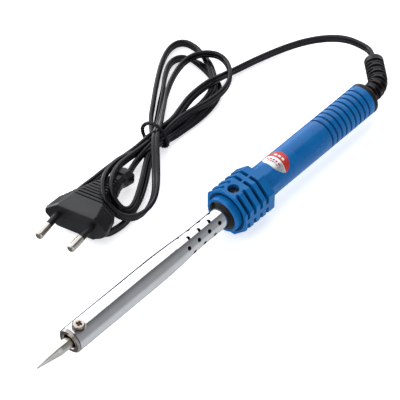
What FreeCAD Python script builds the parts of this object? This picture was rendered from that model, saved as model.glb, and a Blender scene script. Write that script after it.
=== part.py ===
import FreeCAD, Part
import math
import os

# Mains soldering iron with a slotted finger guard, a flat cord tied in a hank and a two-pin plug.
# Millimetres. +X runs from the tip to the cord end, +Z is up, and the guard's lowest flat lies on z = 0.
V = FreeCAD.Vector
os.makedirs("parts", exist_ok=True)

# ---------------------------------------------------------------- driving dimensions
TIP_X = -118.6                      # point of the bit
END_X = 118.6                       # rear face of the end cap
GUARD_FLATS = 24.4                  # finger guard, across flats
AXIS_Z = GUARD_FLATS / 2            # height of the iron's axis

BIT_R = 2.75
BIT_NOSE_R = 0.55
BIT_CONE_X = -104.3                 # where the cone meets the shank
BIT_END_X = -46.0

BARREL_R = 6.45
BARREL_NECK_R = 5.3
BARREL_WALL = 0.7
BARREL_X = (-94.8, 22.0)
TAPER_X = (-42.0, -9.0)             # start and end of the barrel's taper
VENT_R = 1.1
VENT_PITCH = 7.35
VENT_ROWS = 8
VENT_TURN = 10.0                    # the barrel is rolled this far about its axis, degrees
VENT_LAST_X = (-2.9, 1.4)           # rearmost hole of the short and of the long rows
VENT_COUNT = (3, 4)

NOSE_X = -97.75
NOSE_BORE_R = 3.7
NOSE_SPIGOT = 1.1

SCREW_X = -92.0                     # bit screw, M3
SCREW_TURN = 9.0                    # its angle from +Z towards -Y, degrees
SCREW_R = 1.5
SCREW_CLEAR = 0.05
SCREW_HEAD_R = 2.9
SCREW_HEAD_T = 1.7
WASHER_R = 3.4
WASHER_T = 0.6

SLEEVE_R = (2.8, 3.2)               # heater sleeve, inside and outside
WRAP_T = 0.4                        # each mica wrap
COIL_T = 0.6
COIL_TURNS = 26
HEATER_X = (-88.5, -42.5)
SPACER_T = 1.5
LEAD_Y = 3.9
LEAD_R = 0.28
LEAD_TUBE_R = (0.32, 0.65)

BUSH_R = 7.9
BUSH_FRONT_X = 6.2
BUSH_RIM_X = 7.6
COLLAR_R = 9.4
COLLAR_X = 7.9
GUARD_X = (11.3, 32.8)
GUARD_GROOVE_R = 10.9
GUARD_GROOVE_D = 0.9
SLOT_X = (13.6, 18.25, 22.95, 27.4)  # slot centres
SLOT_W = 1.9
SLOT_FLOOR_R = 9.1
WEB_TOP_W = 1.1
WEB_SIDE_W = 2.8
PAD_HALF_W = 4.0                    # solid pad round the screw hole, in front of PAD_END_X
PAD_END_X = 20.6
GUARD_SCREW_X = 16.2
GUARD_HOLE_R = 2.95
GUARD_HEAD_R = 2.75
GUARD_SEAT_R = 7.2                  # the screw's seat, cut in the bush, from the axis
GUARD_HEAD_T = 2.0

NECK_FLATS = 16.6
NECK_END_X = 42.6
HANDLE_R = 8.6
HANDLE_END_X = 116.3
HANDLE_BORE_R = 6.6
HANDLE_FRONT_BORE_R = 5.0
HANDLE_CAVITY_X = 44.0
GRIP_FIRST_X = 82.3
GRIP_PITCH = 3.65
GRIP_COUNT = 9
GRIP_W = 0.9
GRIP_D = 0.45

LABEL_X = 47.7
LABEL_HALF_X = 5.9
LABEL_HALF_Y = 7.2
LABEL_T = 0.12

BLOCK_X = (50.0, 64.0)
BLOCK_HALF_Z = 3.8
BLOCK_BORE_R = 0.6
BLOCK_SCREW_R = 1.0
BLOCK_SCREW_X = (53.5, 60.5)
CORE_R = 0.95
CORE_WIRE_R = 0.45
CLAMP_X = (93.0, 99.0)
CLAMP_GAP = 0.6
CLAMP_SCREW_R = 0.9
CLAMP_SCREW_L = 7.0
CLAMP_SCREW_Z = 4.5

CAP_R = 8.4
CAP_SPIGOT_X = 107.0
BOOT_NECK_R = 3.4
BOOT_FLANGE_R = 5.2
BOOT_FLANGE_X = 105.0
BOOT_R = 4.9
BOOT_CORE_R = 3.8
BOOT_STRAIGHT = 6.0
BOOT_BEND_R = 13.0
BOOT_BEND = 46.0                    # degrees, towards +Y
BOOT_TAIL = 14.35
BOOT_RIBS = 11
BOOT_RIB_T = 1.9

CORD_W = 4.4                        # flat twin cord, its wide side upright
CORD_T = 2.3
CORD_INNER_X = 90.0                 # where the jacket begins inside the handle
CORD_ROUTE = [(143.92, 14.29, 12.2), (148.09, 18.61, 12.2), (150.9, 25.8, 11.8), (151.3, 34.6, 10.0),
              (149.2, 46.3, 6.4), (143.2, 55.6, 3.6), (132.9, 61.2, 2.6), (118.8, 65.3, 2.6),
              (104.5, 68.2, 2.6)]

TIE_AT = (32.5, 65.5)               # middle of the tied waist
TIE_TURN = 8.0                      # direction of the waist from +X, degrees
WAIST_W = 10.6
WAIST_Z = (1.3, 11.3)
TIE_T = 1.3
TIE_L = 2.0
HANK_TOP_Z = 15.0
HANK_LOW_Z = 4.8
LOOP_BAND = 9.0                     # width of the band of turns round each loop's hollow

PLUG_AT = (-39.6, 51.9, 10.5)       # middle of the plug's face
PLUG_YAW = 192.7
PLUG_PITCH = 5.6
PLUG_SECTIONS = [                   # x, shift sideways, centre height, half width, flat, height and side
    (0.0, 0.0, -1.35, 16.8, 10.2, 6.65, 1.3), (-2.0, 0.0, -1.35, 17.2, 10.2, 6.7, 1.3),
    (-10.6, 0.0, -1.2, 15.6, 8.4, 6.5, 1.6), (-19.0, 0.0, -0.8, 11.2, 6.2, 6.0, 1.9),
    (-27.0, 0.8, -0.4, 7.2, 4.0, 5.0, 2.0), (-33.0, 2.0, -0.1, 4.6, 2.5, 4.2, 2.1),
    (-36.6, 2.9, 0.0, 3.7, 1.9, 3.7, 1.9), (-37.4, 3.1, 0.0, 4.7, 2.2, 4.7, 2.2),
    (-41.2, 4.1, 0.0, 4.8, 2.2, 4.8, 2.2), (-42.4, 4.4, 0.0, 4.1, 1.9, 4.1, 1.9)]
PLUG_RIBS = 10
PLUG_RIB_FIRST_X = -12.2
PLUG_RIB_PITCH = 2.15
PLUG_RIB_GAP = 0.9
PLUG_RIB_D = 0.75
PIN_R = 2.0
PIN_L = 19.0
PIN_BASE_Y = 9.3
PIN_TIP_Y = 8.75
PIN_ROOT = 6.0                      # length moulded into the body
PIN_SLEEVE_X = (0.06, 10.0)         # clear of the face, which the leaning pins meet at an angle
PIN_SLEEVE_R = 1.8
PIN_CORE_R = 1.5                    # under the sleeve and inside the body
PIN_ROUND = 0.9

AXIS = V(0, 0, AXIS_Z)
ALONG = V(1, 0, 0)


# ---------------------------------------------------------------- helpers
def save(shape, node):
    shape.exportStep("parts/" + node + ".step")


def outward(turn):
    """Unit vector away from the axis, turned from +Z towards -Y."""
    angle = math.radians(turn)
    return V(0, -math.sin(angle), math.cos(angle))


def rod(x0, x1, radius, y=0.0, dz=0.0):
    return Part.makeCylinder(radius, x1 - x0, V(x0, y, AXIS_Z + dz), ALONG)


def ring(x0, x1, outer, inner, y=0.0, dz=0.0):
    return rod(x0, x1, outer, y, dz).cut(rod(x0 - 1, x1 + 1, inner, y, dz))


def radial(x, turn, radius, low, high):
    """Cylinder that points away from the axis, between two distances from it."""
    direction = outward(turn)
    return Part.makeCylinder(radius, high - low, AXIS + V(x, 0, 0) + direction * low, direction)


def turned(points):
    """Solid of revolution about the iron's axis from (x, radius) points."""
    corners = [V(x, 0, AXIS_Z + r) for x, r in points]
    face = Part.Face(Part.makePolygon(corners + corners[:1]))
    return face.revolve(AXIS, ALONG, 360)


def octagon(x0, x1, flats):
    corner_r = flats / 2 / math.cos(math.radians(22.5))
    corners = [AXIS + V(x0, 0, 0) + outward(22.5 + 45 * k) * corner_r for k in range(8)]
    return Part.Face(Part.makePolygon(corners + corners[:1])).extrude(V(x1 - x0, 0, 0))


def block(x0, x1, y0, y1, z0, z1):
    return Part.makeBox(x1 - x0, y1 - y0, z1 - z0, V(x0, y0, z0))


def cord_section(centre, direction):
    """Racetrack outline of the flat cord, its wide side upright."""
    side = V(0, 0, 1).cross(direction).normalize()
    up = direction.cross(side).normalize()
    flat = (CORD_W - CORD_T) / 2
    half = CORD_T / 2
    left_low = centre - side * half - up * flat
    left_high = centre - side * half + up * flat
    right_low = centre + side * half - up * flat
    right_high = centre + side * half + up * flat
    top = Part.Arc(left_high, centre + up * (flat + half), right_high).toShape()
    bottom = Part.Arc(right_low, centre - up * (flat + half), left_low).toShape()
    sides = [Part.makeLine(left_low, left_high), Part.makeLine(right_high, right_low)]
    return Part.Wire([sides[0], top, sides[1], bottom])


def rounded_path(points):
    """Straight runs joined by tangent arcs, and the arcs' radii."""
    edges = []
    radii = []
    start = points[0]
    for before, corner, after in zip(points, points[1:], points[2:]):
        back = (before - corner).normalize()
        on = (after - corner).normalize()
        half_turn = (math.pi - back.getAngle(on)) / 2
        reach = 0.45 * min(before.distanceToPoint(corner), after.distanceToPoint(corner))
        radius = reach / math.tan(half_turn)
        arc_in = corner + back * reach
        arc_out = corner + on * reach
        centre = corner + (back + on).normalize() * (radius / math.cos(half_turn))
        middle = centre + (corner - centre).normalize() * radius
        edges.append(Part.LineSegment(start, arc_in).toShape())
        edges.append(Part.Arc(arc_in, middle, arc_out).toShape())
        radii.append(radius)
        start = arc_out
    edges.append(Part.LineSegment(start, points[-1]).toShape())
    return Part.Wire(edges), radii


def cord_along(wire, start, direction):
    pipe = Part.BRepOffsetAPI.MakePipeShell(wire)
    pipe.setBiNormalMode(V(0, 0, 1))
    pipe.add(cord_section(start, direction))
    pipe.build()
    pipe.makeSolid()
    return pipe.shape()


# ---------------------------------------------------------------- bit, barrel and heater
def tip_bit():
    nose = [(TIP_X + BIT_NOSE_R * (1 - math.cos(a)), BIT_NOSE_R * math.sin(a))
            for a in (0.0, math.pi / 6, math.pi / 3, math.pi * 0.44)]
    shank = [(BIT_CONE_X - 0.4, BIT_R - 0.07), (BIT_CONE_X + 0.4, BIT_R), (BIT_END_X - 0.5, BIT_R),
             (BIT_END_X, BIT_R - 0.5), (BIT_END_X, 0)]
    return turned(nose + shank)


def nose_ring():
    flange_end = BARREL_X[0]
    spigot_end = flange_end + NOSE_SPIGOT
    inner_r = BARREL_R - BARREL_WALL
    return turned([(NOSE_X, NOSE_BORE_R + 0.4), (NOSE_X, BARREL_R - 0.7), (NOSE_X + 0.7, BARREL_R),
                   (flange_end, BARREL_R), (flange_end, inner_r), (spigot_end, inner_r),
                   (spigot_end, NOSE_BORE_R), (NOSE_X + 0.4, NOSE_BORE_R)])


def taper_edge(inset):
    """The barrel's smooth taper, moved in by the wall for its inside."""
    mid = (BARREL_R + BARREL_NECK_R) / 2
    length = TAPER_X[1] - TAPER_X[0]
    points = [V(TAPER_X[0], 0, AXIS_Z + BARREL_R - inset),
              V(TAPER_X[0] + 0.55 * length, 0, AXIS_Z + mid - inset),
              V(TAPER_X[1], 0, AXIS_Z + BARREL_NECK_R - inset)]
    curve = Part.BSplineCurve()
    curve.interpolate(Points=points, InitialTangent=V(length, 0, 0), FinalTangent=V(length, 0, 0))
    return curve.toShape()


def barrel_tube():
    wall = BARREL_WALL
    x0, x1 = BARREL_X
    outer = [V(x0, 0, AXIS_Z + BARREL_R), V(TAPER_X[0], 0, AXIS_Z + BARREL_R),
             V(TAPER_X[1], 0, AXIS_Z + BARREL_NECK_R), V(x1, 0, AXIS_Z + BARREL_NECK_R)]
    inner = [point - V(0, 0, wall) for point in outer]
    edges = [Part.makeLine(outer[0], outer[1]), taper_edge(0), Part.makeLine(outer[2], outer[3]),
             Part.makeLine(outer[3], inner[3]), Part.makeLine(inner[3], inner[2]), taper_edge(wall),
             Part.makeLine(inner[1], inner[0]), Part.makeLine(inner[0], outer[0])]
    tube = Part.Face(Part.Wire(Part.__sortEdges__(edges))).revolve(AXIS, ALONG, 360)
    for row in range(VENT_ROWS):
        long_row = row % 2
        for k in range(VENT_COUNT[long_row]):
            x = VENT_LAST_X[long_row] - VENT_PITCH * k
            tube = tube.cut(radial(x, VENT_TURN + 45 * row, VENT_R, 3.0, 8.0))
    tube = tube.cut(radial(SCREW_X, SCREW_TURN, SCREW_R + SCREW_CLEAR, 3.0, 8.0))
    return tube.cut(radial(GUARD_SCREW_X, 0, SCREW_R, 3.0, 8.0))


def screw_washer():
    disc = radial(SCREW_X, SCREW_TURN, WASHER_R, BARREL_R, BARREL_R + WASHER_T)
    return disc.cut(radial(SCREW_X, SCREW_TURN, SCREW_R + SCREW_CLEAR, 5.0, 9.0))


def cross_recess(x, turn, top):
    """Cross-shaped driver recess, cut down from the head's top."""
    direction = outward(turn)
    bars = []
    for quarter in (0, 90):
        bar = Part.makeBox(3.0, 0.7, 1.2, V(-1.5, -0.35, 0))
        bar.rotate(V(0, 0, 0), V(0, 0, 1), 45 + quarter)
        bars.append(bar)
    cross = bars[0].fuse(bars[1])
    cross.Placement = FreeCAD.Placement(AXIS + V(x, 0, 0) + direction * (top - 0.9),
                                        FreeCAD.Rotation(ALONG, turn))
    return cross


def tip_screw():
    seat = BARREL_R + WASHER_T
    top = seat + SCREW_HEAD_T
    head = radial(SCREW_X, SCREW_TURN, SCREW_HEAD_R, seat, top)
    rim = [edge for edge in head.Edges if edge.CenterOfMass.distanceToPoint(
        AXIS + V(SCREW_X, 0, 0) + outward(SCREW_TURN) * top) < 0.01]
    head = head.makeFillet(0.9, rim)
    shank = radial(SCREW_X, SCREW_TURN, SCREW_R, BIT_R + SCREW_CLEAR, seat + 0.2)
    return head.fuse(shank).cut(cross_recess(SCREW_X, SCREW_TURN, top)).removeSplitter()


def heater_sleeve():
    return ring(HEATER_X[0], HEATER_X[1], SLEEVE_R[1], SLEEVE_R[0])


def mica_wrap(inner_r):
    return ring(HEATER_X[0] + 2, HEATER_X[1] - 2, inner_r + WRAP_T, inner_r)


def heating_coil():
    """Close winding: a sleeve whose outside is scalloped, one scallop a turn."""
    inner_r = SLEEVE_R[1] + WRAP_T
    outer_r = inner_r + COIL_T
    x0 = HEATER_X[0] + 3
    x1 = HEATER_X[1] - 3
    pitch = (x1 - x0) / COIL_TURNS
    outline = [(x0, inner_r), (x0, outer_r - 0.3)]
    for turn in range(COIL_TURNS):
        outline += [(x0 + pitch * (turn + 0.3), outer_r), (x0 + pitch * (turn + 0.7), outer_r),
                    (x0 + pitch * (turn + 1), outer_r - 0.3)]
    return turned(outline + [(x1, inner_r)])


def heater_spacer(x0, has_leads):
    spacer = ring(x0, x0 + SPACER_T, BARREL_R - BARREL_WALL, SLEEVE_R[1])
    if has_leads:
        for side in (-1, 1):
            spacer = spacer.cut(rod(x0 - 1, x0 + SPACER_T + 1, LEAD_TUBE_R[0], side * LEAD_Y))
    return spacer


def heater_leads():
    start = HEATER_X[1] - 3
    stop = BLOCK_X[0] + 6
    return Part.makeCompound([rod(start, stop, LEAD_R, side * LEAD_Y) for side in (-1, 1)])


def lead_insulators():
    start = HEATER_X[1] + 0.5
    stop = BLOCK_X[0] - 1
    return Part.makeCompound([ring(start, stop, LEAD_TUBE_R[1], LEAD_TUBE_R[0], side * LEAD_Y)
                              for side in (-1, 1)])


# ---------------------------------------------------------------- bush, guard and handle
def insulating_bush():
    bush = turned([(BUSH_FRONT_X, BARREL_NECK_R), (BUSH_FRONT_X, BARREL_NECK_R + 0.5),
                   (BUSH_RIM_X, BUSH_R - 0.3), (BUSH_RIM_X + 0.3, BUSH_R), (BARREL_X[1], BUSH_R),
                   (BARREL_X[1], BARREL_NECK_R)])
    bush = bush.cut(radial(GUARD_SCREW_X, 0, GUARD_HOLE_R, GUARD_SEAT_R, BUSH_R + 1))
    return bush.cut(radial(GUARD_SCREW_X, 0, SCREW_R, 3.0, BUSH_R))


def guard_screw():
    top = GUARD_SEAT_R + GUARD_HEAD_T
    head = radial(GUARD_SCREW_X, 0, GUARD_HEAD_R, GUARD_SEAT_R, top)
    shank = radial(GUARD_SCREW_X, 0, SCREW_R, BARREL_NECK_R - BARREL_WALL, GUARD_SEAT_R + 0.2)
    slot = block(GUARD_SCREW_X - 0.4, GUARD_SCREW_X + 0.4, -3, 3, AXIS_Z + top - 0.9, AXIS_Z + top + 1)
    return head.fuse(shank).cut(slot).removeSplitter()


def guard_webs():
    """Four webs that tie the guard's ribs together, and the pad round the screw hole."""
    x0, x1 = GUARD_X
    reach = GUARD_FLATS / 2 + 1
    upright = block(x0, x1, -WEB_TOP_W / 2, WEB_TOP_W / 2, AXIS_Z - reach, AXIS_Z + reach)
    level = block(x0, x1, -reach, reach, AXIS_Z - WEB_SIDE_W / 2, AXIS_Z + WEB_SIDE_W / 2)
    pad = block(x0, PAD_END_X, -PAD_HALF_W, PAD_HALF_W, AXIS_Z, AXIS_Z + reach)
    return upright.fuse(level).fuse(pad)


def finger_guard():
    x0, x1 = GUARD_X
    body = octagon(x0, x1, GUARD_FLATS)
    webs = guard_webs()
    for centre in SLOT_X:
        slot = ring(centre - SLOT_W / 2, centre + SLOT_W / 2, GUARD_FLATS, SLOT_FLOOR_R)
        body = body.cut(slot.cut(webs))
    body = body.cut(ring(x0 - 1, x0 + GUARD_GROOVE_D, GUARD_GROOVE_R, COLLAR_R))
    collar = turned([(COLLAR_X, BUSH_R), (COLLAR_X, COLLAR_R - 0.4), (COLLAR_X + 0.4, COLLAR_R),
                     (x0 + 2, COLLAR_R), (x0 + 2, BUSH_R)])
    body = body.fuse(collar).cut(rod(COLLAR_X - 1, x1 + 1, BUSH_R))
    body = body.cut(radial(GUARD_SCREW_X, 0, GUARD_HOLE_R, GUARD_SEAT_R, GUARD_FLATS))
    return body.removeSplitter()


def handle_shell():
    spigot = rod(BARREL_X[1], GUARD_X[1], BUSH_R)
    neck = octagon(GUARD_X[1], NECK_END_X, NECK_FLATS)
    grip = rod(NECK_END_X, HANDLE_END_X, HANDLE_R)
    body = spigot.fuse(neck).fuse(grip)
    for k in range(GRIP_COUNT):
        x = GRIP_FIRST_X + GRIP_PITCH * k
        groove = [(x - GRIP_W / 2, HANDLE_R), (x, HANDLE_R - GRIP_D), (x + GRIP_W / 2, HANDLE_R),
                  (x + GRIP_W / 2, HANDLE_R + 1), (x - GRIP_W / 2, HANDLE_R + 1)]
        body = body.cut(turned(groove))
    body = body.cut(rod(BARREL_X[1] - 1, HANDLE_CAVITY_X + 1, HANDLE_FRONT_BORE_R))
    return body.cut(rod(HANDLE_CAVITY_X, HANDLE_END_X + 1, HANDLE_BORE_R)).removeSplitter()


def rating_label():
    """Thin oval patch wrapped over the top of the handle."""
    skin = ring(LABEL_X - 8, LABEL_X + 8, HANDLE_R + LABEL_T, HANDLE_R)
    middle = V(LABEL_X, 0, 0)
    oval = Part.Ellipse(middle + V(0, LABEL_HALF_Y, 0), middle - V(LABEL_HALF_X, 0, 0), middle)
    prism = Part.Face(Part.Wire(oval.toShape())).extrude(V(0, 0, AXIS_Z + HANDLE_R + 2))
    return skin.common(prism).common(block(NECK_END_X, END_X, -9, 9, AXIS_Z, 2 * AXIS_Z))


# ---------------------------------------------------------------- inside the handle
def terminal_block():
    body = rod(BLOCK_X[0], BLOCK_X[1], HANDLE_BORE_R)
    body = body.common(block(BLOCK_X[0], BLOCK_X[1], -9, 9, AXIS_Z - BLOCK_HALF_Z, AXIS_Z + BLOCK_HALF_Z))
    for side in (-1, 1):
        body = body.cut(rod(BLOCK_X[0] - 1, BLOCK_X[1] + 1, BLOCK_BORE_R, side * LEAD_Y))
        for x in BLOCK_SCREW_X:
            body = body.cut(Part.makeCylinder(BLOCK_SCREW_R, 9, V(x, side * LEAD_Y, AXIS_Z)))
    return body


def terminal_screws():
    screws = []
    for side in (-1, 1):
        for x in BLOCK_SCREW_X:
            low = AXIS_Z + CORE_WIRE_R + 0.05
            height = AXIS_Z + BLOCK_HALF_Z - 0.3 - low
            screw = Part.makeCylinder(BLOCK_SCREW_R, height, V(x, side * LEAD_Y, low))
            top = low + height
            slot = block(x - 2, x + 2, side * LEAD_Y - 0.2, side * LEAD_Y + 0.2, top - 0.5, top + 1)
            screws.append(screw.cut(slot))
    return Part.makeCompound(screws)


def cord_cores():
    """Two insulated cores from the terminals to the jacket, with bared ends."""
    cores = []
    for side in (-1, 1):
        start = V(BLOCK_X[1] + 0.5, side * LEAD_Y, AXIS_Z)
        stop = V(CORD_INNER_X, 0, AXIS_Z + side * CORD_W / 4)
        bare = rod(BLOCK_X[0] + 7, BLOCK_X[1] + 1.0, CORE_WIRE_R, side * LEAD_Y)
        core = Part.makeCylinder(CORE_R, start.distanceToPoint(stop), start, stop - start)
        cores.append(bare.fuse(core).cut(block(stop.x, stop.x + 9, -5, 5, 0, 30)))
    return Part.makeCompound(cores)


def cord_clamp():
    """Two jaws that grip the flat cord inside the handle."""
    body = rod(CLAMP_X[0], CLAMP_X[1], HANDLE_BORE_R)
    body = body.cut(block(CLAMP_X[0] - 1, CLAMP_X[1] + 1, -CLAMP_GAP / 2, CLAMP_GAP / 2, 0, 30))
    cord = Part.Face(cord_section(V(CLAMP_X[0] - 1, 0, AXIS_Z), ALONG)).extrude(ALONG * 9)
    return body.cut(cord).cut(clamp_screws())


def clamp_screws():
    middle = (CLAMP_X[0] + CLAMP_X[1]) / 2
    screws = []
    for side in (-1, 1):
        start = V(middle, -CLAMP_SCREW_L / 2, AXIS_Z + side * CLAMP_SCREW_Z)
        screws.append(Part.makeCylinder(CLAMP_SCREW_R, CLAMP_SCREW_L, start, V(0, 1, 0)))
    return Part.makeCompound(screws)


def end_cap():
    cap = turned([(CAP_SPIGOT_X, BOOT_NECK_R), (CAP_SPIGOT_X, HANDLE_BORE_R), (HANDLE_END_X, HANDLE_BORE_R),
                  (HANDLE_END_X, CAP_R), (END_X - 0.6, CAP_R), (END_X, CAP_R - 0.6), (END_X, BOOT_NECK_R)])
    return cap


# ---------------------------------------------------------------- cord, boot and hank
def boot_line(start_x):
    """Centre line through the boot: straight, one bend, straight; and its end point and direction."""
    turn = math.radians(BOOT_BEND)
    corner = V(END_X + BOOT_STRAIGHT, 0, AXIS_Z)
    arc_mid = corner + V(BOOT_BEND_R * math.sin(turn / 2), BOOT_BEND_R * (1 - math.cos(turn / 2)), 0)
    arc_end = corner + V(BOOT_BEND_R * math.sin(turn), BOOT_BEND_R * (1 - math.cos(turn)), 0)
    heading = V(math.cos(turn), math.sin(turn), 0)
    tail = arc_end + heading * BOOT_TAIL
    wire = Part.Wire([Part.makeLine(V(start_x, 0, AXIS_Z), corner),
                      Part.Arc(corner, arc_mid, arc_end).toShape(), Part.makeLine(arc_end, tail)])
    return wire, tail, heading


def boot_station(distance):
    """Point and direction on the boot's centre line, measured from the end cap."""
    bend_length = BOOT_BEND_R * math.radians(BOOT_BEND)
    if distance <= BOOT_STRAIGHT:
        return V(END_X + distance, 0, AXIS_Z), ALONG
    turn = min(distance - BOOT_STRAIGHT, bend_length) / BOOT_BEND_R
    heading = V(math.cos(turn), math.sin(turn), 0)
    arc = V(math.sin(turn), 1 - math.cos(turn), 0) * BOOT_BEND_R
    point = V(END_X + BOOT_STRAIGHT, 0, AXIS_Z) + arc
    return point + heading * max(0.0, distance - BOOT_STRAIGHT - bend_length), heading


def cord_inner_run():
    wire = boot_line(CORD_INNER_X)[0]
    return cord_along(wire, V(CORD_INNER_X, 0, AXIS_Z), ALONG)


def strain_relief_boot():
    wire, tail, heading = boot_line(END_X)
    circle = Part.Wire(Part.makeCircle(BOOT_CORE_R, V(END_X, 0, AXIS_Z), ALONG))
    body = wire.makePipeShell([circle], True, False)
    length = BOOT_STRAIGHT + BOOT_BEND_R * math.radians(BOOT_BEND) + BOOT_TAIL
    pitch = (length - BOOT_RIB_T) / (BOOT_RIBS - 1)
    for k in range(BOOT_RIBS):
        point, along = boot_station(pitch * k + BOOT_RIB_T / 2)
        body = body.fuse(Part.makeCylinder(BOOT_R, BOOT_RIB_T, point - along * (BOOT_RIB_T / 2), along))
    body = body.fuse(rod(CAP_SPIGOT_X, END_X + 0.5, BOOT_NECK_R))
    body = body.fuse(rod(BOOT_FLANGE_X, CAP_SPIGOT_X, BOOT_FLANGE_R))
    return body.cut(cord_inner_run()).removeSplitter()


def supply_cord():
    points = [V(*point) for point in CORD_ROUTE]
    wire, radii = rounded_path(points)
    tube = cord_along(wire, points[0], points[1] - points[0])
    area = (CORD_W - CORD_T) * CORD_T + math.pi * CORD_T ** 2 / 4
    print("cord radii mm:", [round(radius, 1) for radius in radii])
    print("cord tube: volume / (section x length) =", round(tube.Volume / (area * wire.Length), 4),
          "length mm =", round(wire.Length, 1))
    return tube


def loop_slab(centre, radius, z0, z1):
    """One fan of turns: a circle and its two tangents from the tie, with the loop's hollow left open."""
    tie = V(TIE_AT[0], TIE_AT[1], 0)
    slab = None
    for reach in (radius, radius - LOOP_BAND):
        to_tie = tie - centre
        spread = math.acos(min(1.0, (reach - WAIST_W / 2 * (reach / radius)) / to_tie.Length))
        base = math.atan2(to_tie.y, to_tie.x)
        first = centre + V(math.cos(base + spread), math.sin(base + spread), 0) * reach
        far = centre - to_tie.normalize() * reach
        last = centre + V(math.cos(base - spread), math.sin(base - spread), 0) * reach
        side = V(-to_tie.y, to_tie.x, 0) * (WAIST_W / 2 if reach == radius else 0.5)
        inset = V(0, 0, 0) if reach == radius else (centre - tie).normalize() * 2.2 * LOOP_BAND
        outline = [Part.Arc(first, far, last).toShape(), Part.makeLine(last, tie - side + inset),
                   Part.makeLine(tie - side + inset, tie + side + inset),
                   Part.makeLine(tie + side + inset, first)]
        solid = Part.Face(Part.Wire(outline)).extrude(V(0, 0, z1 - z0))
        solid.translate(V(0, 0, z0))
        slab = solid if slab is None else slab.cut(solid)
    return slab


def cord_hank():
    upper = loop_slab(V(85, 88, 0), 19.0, 0, HANK_TOP_Z)
    right = loop_slab(V(91, 78, 0), 13.5, 0, HANK_TOP_Z)
    lower = loop_slab(V(1, 53, 0), 19.0, 0, HANK_TOP_Z)
    under = loop_slab(V(-23, 55, 0), 18.5, 0, HANK_LOW_Z)
    body = upper.fuse(right).fuse(lower).fuse(under)
    return body.cut(tie_box(TIE_L, 30)).fuse(tie_box(TIE_L, WAIST_W)).removeSplitter()


def tie_box(length, width):
    """Block across the waist, inside the tie."""
    low = 0 if width > WAIST_W else WAIST_Z[0]
    high = HANK_TOP_Z + 1 if width > WAIST_W else WAIST_Z[1]
    box = Part.makeBox(length, width, high - low, V(-length / 2, -width / 2, low))
    box.rotate(V(0, 0, 0), V(0, 0, 1), TIE_TURN)
    box.translate(V(TIE_AT[0], TIE_AT[1], 0))
    return box


def cord_tie():
    wide = WAIST_W + 2 * TIE_T
    tall = WAIST_Z[1] - WAIST_Z[0] + 2 * TIE_T
    band = Part.makeBox(TIE_L, wide, tall, V(-TIE_L / 2, -wide / 2, WAIST_Z[0] - TIE_T))
    band.rotate(V(0, 0, 0), V(0, 0, 1), TIE_TURN)
    band.translate(V(TIE_AT[0], TIE_AT[1], 0))
    return band.cut(tie_box(TIE_L + 2, WAIST_W))


# ---------------------------------------------------------------- plug
def plug_place(shape):
    """Plug pieces are drawn with the pins along +X and the face at x = 0, then laid in place."""
    turn = FreeCAD.Rotation(V(0, 0, 1), PLUG_YAW).multiply(FreeCAD.Rotation(V(0, 1, 0), -PLUG_PITCH))
    shape.Placement = FreeCAD.Placement(V(*PLUG_AT), turn)
    return shape


def plug_outline(section, inset):
    x, shift, centre_z, half_w, half_flat, half_h, half_side = section
    half_w -= inset
    half_flat -= inset / 2
    half_h -= inset
    corners = [(half_w, half_side), (half_flat, half_h), (-half_flat, half_h), (-half_w, half_side),
               (-half_w, -half_side), (-half_flat, -half_h), (half_flat, -half_h), (half_w, -half_side)]
    points = [V(x, y + shift, z + centre_z) for y, z in corners]
    return Part.makePolygon(points + points[:1])


def plug_loft(inset):
    return Part.makeLoft([plug_outline(section, inset) for section in PLUG_SECTIONS], True, True)


def plug_body():
    body = plug_loft(0)
    core = plug_loft(PLUG_RIB_D)
    for k in range(PLUG_RIBS):
        x = PLUG_RIB_FIRST_X - PLUG_RIB_PITCH * k
        slab = Part.makeBox(PLUG_RIB_GAP, 60, 40, V(x - PLUG_RIB_GAP, -30, -20))
        body = body.cut(slab.cut(core))
    for side in (-1, 1):
        body = body.cut(pin_cylinder(side, PIN_CORE_R, -PIN_ROOT, 1))
    return plug_place(body)


def pin_cylinder(side, radius, start, stop):
    slope = V(PIN_L, side * (PIN_TIP_Y - PIN_BASE_Y), 0).normalize()
    return Part.makeCylinder(radius, stop - start, V(0, side * PIN_BASE_Y, 0) + slope * start, slope)


def plug_pin(side):
    core = pin_cylinder(side, PIN_CORE_R, -PIN_ROOT, PIN_SLEEVE_X[1] + 1)
    metal = pin_cylinder(side, PIN_R, PIN_SLEEVE_X[1], PIN_L)
    tip = max(metal.Edges, key=lambda edge: edge.CenterOfMass.x)
    return plug_place(metal.makeFillet(PIN_ROUND, [tip]).fuse(core))


def pin_sleeve(side):
    sleeve = pin_cylinder(side, PIN_SLEEVE_R, *PIN_SLEEVE_X)
    return plug_place(sleeve.cut(pin_cylinder(side, PIN_CORE_R, -1, PIN_SLEEVE_X[1] + 1)))


# ---------------------------------------------------------------- write every node
inner_wrap_r = SLEEVE_R[1]
outer_wrap_r = SLEEVE_R[1] + WRAP_T + COIL_T
save(tip_bit(), "tip_bit")
save(nose_ring(), "nose_ring")
save(barrel_tube(), "barrel_tube")
save(screw_washer(), "screw_washer")
save(tip_screw(), "tip_screw")
save(heater_sleeve(), "heater_sleeve")
save(mica_wrap(inner_wrap_r), "mica_inner_wrap")
save(heating_coil(), "heating_coil")
save(mica_wrap(outer_wrap_r), "mica_outer_wrap")
save(heater_spacer(HEATER_X[0], False), "heater_front_spacer")
save(heater_spacer(HEATER_X[1] - SPACER_T, True), "heater_rear_spacer")
save(heater_leads(), "heater_leads")
save(lead_insulators(), "lead_insulators")
save(insulating_bush(), "insulating_bush")
save(guard_screw(), "guard_screw")
save(finger_guard(), "finger_guard")
save(handle_shell(), "handle_shell")
save(rating_label(), "rating_label")
save(terminal_block(), "terminal_block")
save(terminal_screws(), "terminal_screws")
save(cord_cores(), "cord_cores")
save(cord_clamp(), "cord_clamp")
save(clamp_screws(), "clamp_screws")
save(end_cap(), "end_cap")
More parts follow.
